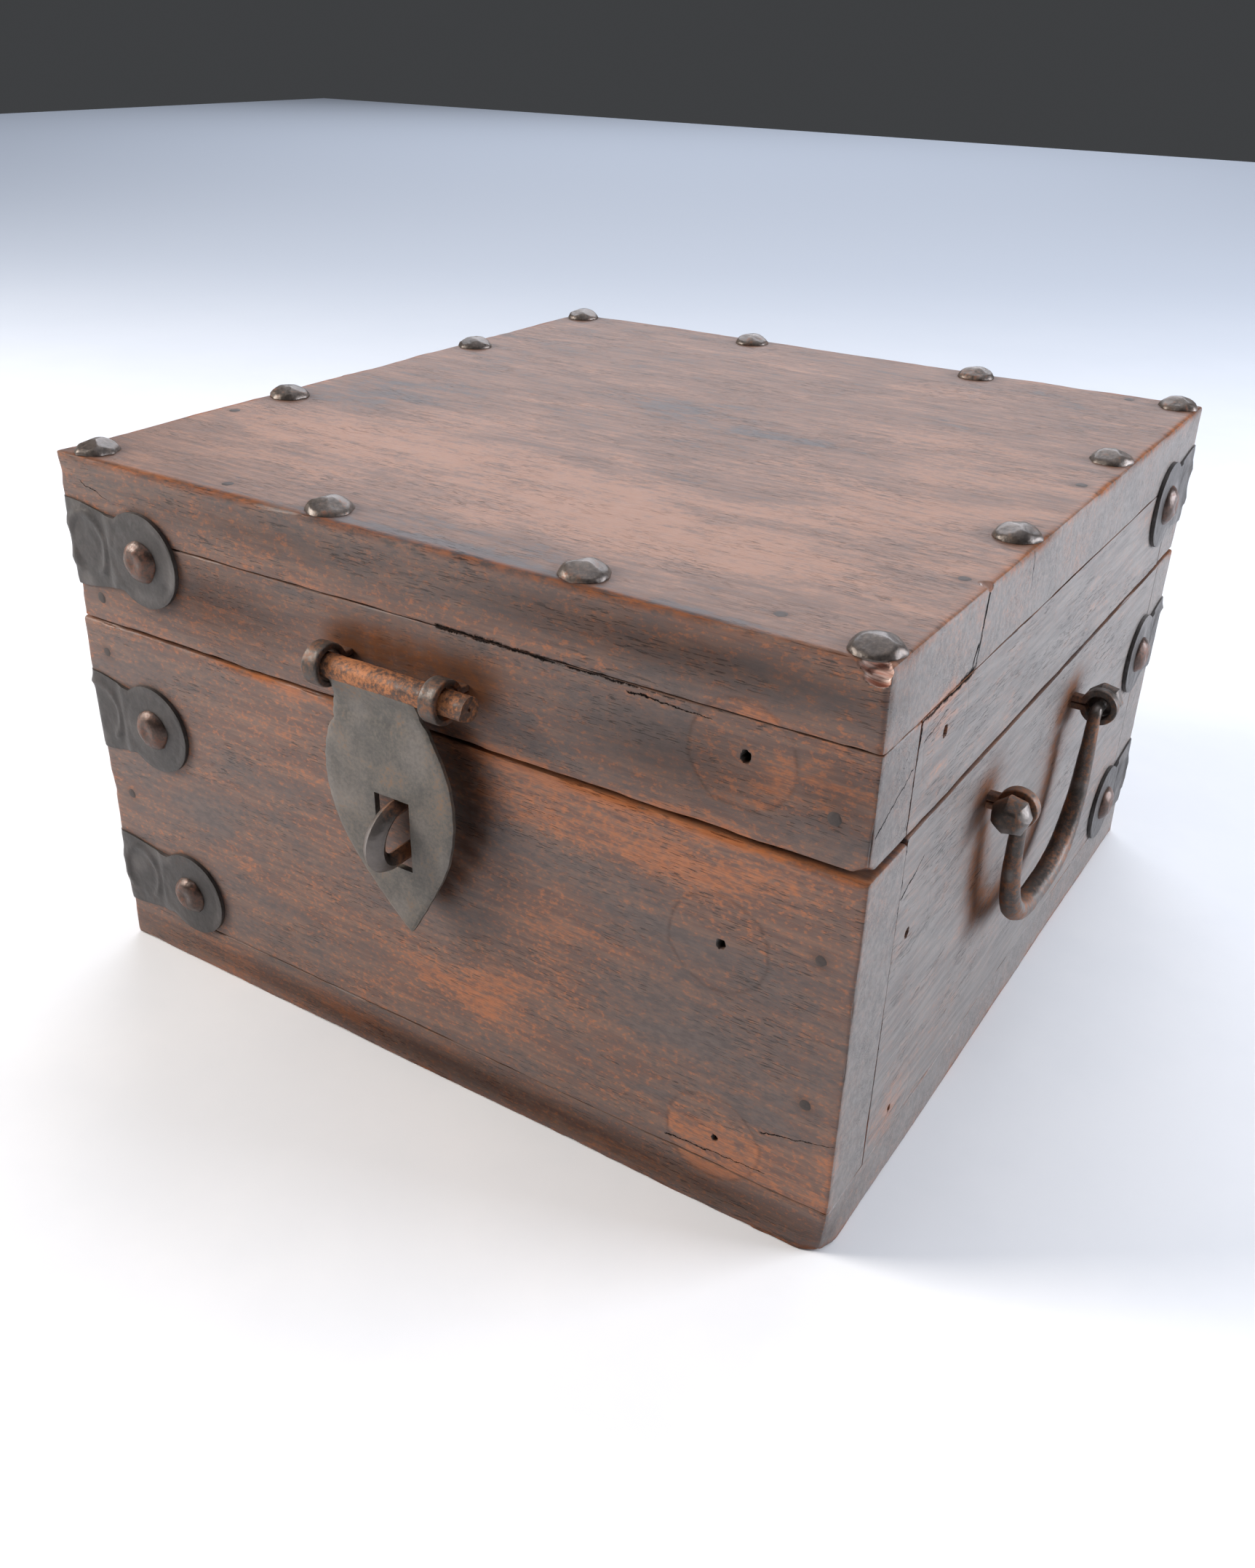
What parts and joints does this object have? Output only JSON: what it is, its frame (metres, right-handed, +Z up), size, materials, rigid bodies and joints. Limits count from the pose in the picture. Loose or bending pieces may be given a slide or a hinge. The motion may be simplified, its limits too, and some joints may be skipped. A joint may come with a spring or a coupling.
{
  "type": "damchiya chest",
  "caption": "Small damchiya style box of dark hardwood boards with a hinged plank lid, forged iron corner straps, dome nails, a leaf hasp over a staple and bail handles.",
  "frame": {"origin": "centre of the base board's underside, on the plane that the chest stands on", "axes": "+Z up, +X to the right along the front with the hasp, +Y from the front to the hinges at the back"},
  "size_m": [0.3374, 0.3396, 0.2016],
  "materials": {
    "wood_case": "old dark red brown hardwood, oiled and worn",
    "wood_lid": "old dark red brown hardwood, polished by hands",
    "iron_straps": "hammered dark wrought iron sheet with a smooth patina",
    "iron_nails": "hammered wrought iron, worn bright on the crowns",
    "iron_fittings": "forged wrought iron with brown rust",
    "iron_hinges": "forged wrought iron sheet, dull and dark"
  },
  "bodies": {
    "case": {"base_board": "wood_case", "base_nails": "iron_nails", "case_front_board": "wood_case", "case_back_board": "wood_case", "case_left_board": "wood_case", "case_right_board": "wood_case", "case_joint_nails": "iron_nails", "case_strap_front_left_upper": "iron_straps", "case_strap_front_left_lower": "iron_straps", "case_strap_back_left_upper": "iron_straps", "case_strap_back_left_lower": "iron_straps", "case_strap_back_right_upper": "iron_straps", "case_strap_back_right_lower": "iron_straps", "case_strap_nails": "iron_nails", "staple": "iron_fittings", "handle_eye_right_front": "iron_fittings", "handle_eye_right_back": "iron_fittings", "handle_eye_left_front": "iron_fittings", "handle_eye_left_back": "iron_fittings", "hinge_case_leaf_left": "iron_hinges", "hinge_case_leaf_right": "iron_hinges", "hinge_pin_left": "iron_hinges", "hinge_pin_right": "iron_hinges", "hinge_case_nails": "iron_nails"},
    "lid": {"lid_plank": "wood_lid", "lid_front_board": "wood_lid", "lid_back_board": "wood_lid", "lid_left_board": "wood_lid", "lid_right_board": "wood_lid", "lid_strap_front_left": "iron_straps", "lid_strap_back_left": "iron_straps", "lid_strap_back_right": "iron_straps", "lid_strap_nails": "iron_nails", "lid_dome_nails": "iron_nails", "lid_flush_nails": "iron_nails", "lid_joint_nails": "iron_nails", "hasp_eye_left": "iron_fittings", "hasp_eye_right": "iron_fittings", "hinge_lid_leaf_left": "iron_hinges", "hinge_lid_leaf_right": "iron_hinges", "hinge_lid_nails": "iron_nails"},
    "hasp": {"hasp": "iron_fittings"},
    "handle_right": {"handle_right": "iron_fittings"},
    "handle_left": {"handle_left": "iron_fittings"}
  },
  "joints": [
    {"name": "lid_hinge", "type": "hinge", "parent": "case", "child": "lid", "pos_m": [0, 0.1591, 0.1377], "axis": [-1, 0, 0], "range_deg": [0, 110]},
    {"name": "hasp_swing", "type": "hinge", "parent": "lid", "child": "hasp", "pos_m": [-0.0019, -0.164, 0.1554], "axis": [-1, 0, 0], "range_deg": [-5, 185]},
    {"name": "handle_right_swing", "type": "hinge", "parent": "case", "child": "handle_right", "pos_m": [0.162, -0.016, 0.1172], "axis": [0, -1, 0], "range_deg": [-4.5, 184.5]},
    {"name": "handle_left_swing", "type": "hinge", "parent": "case", "child": "handle_left", "pos_m": [-0.162, -0.016, 0.1172], "axis": [0, 1, 0], "range_deg": [-4.5, 184.5]}
  ]
}
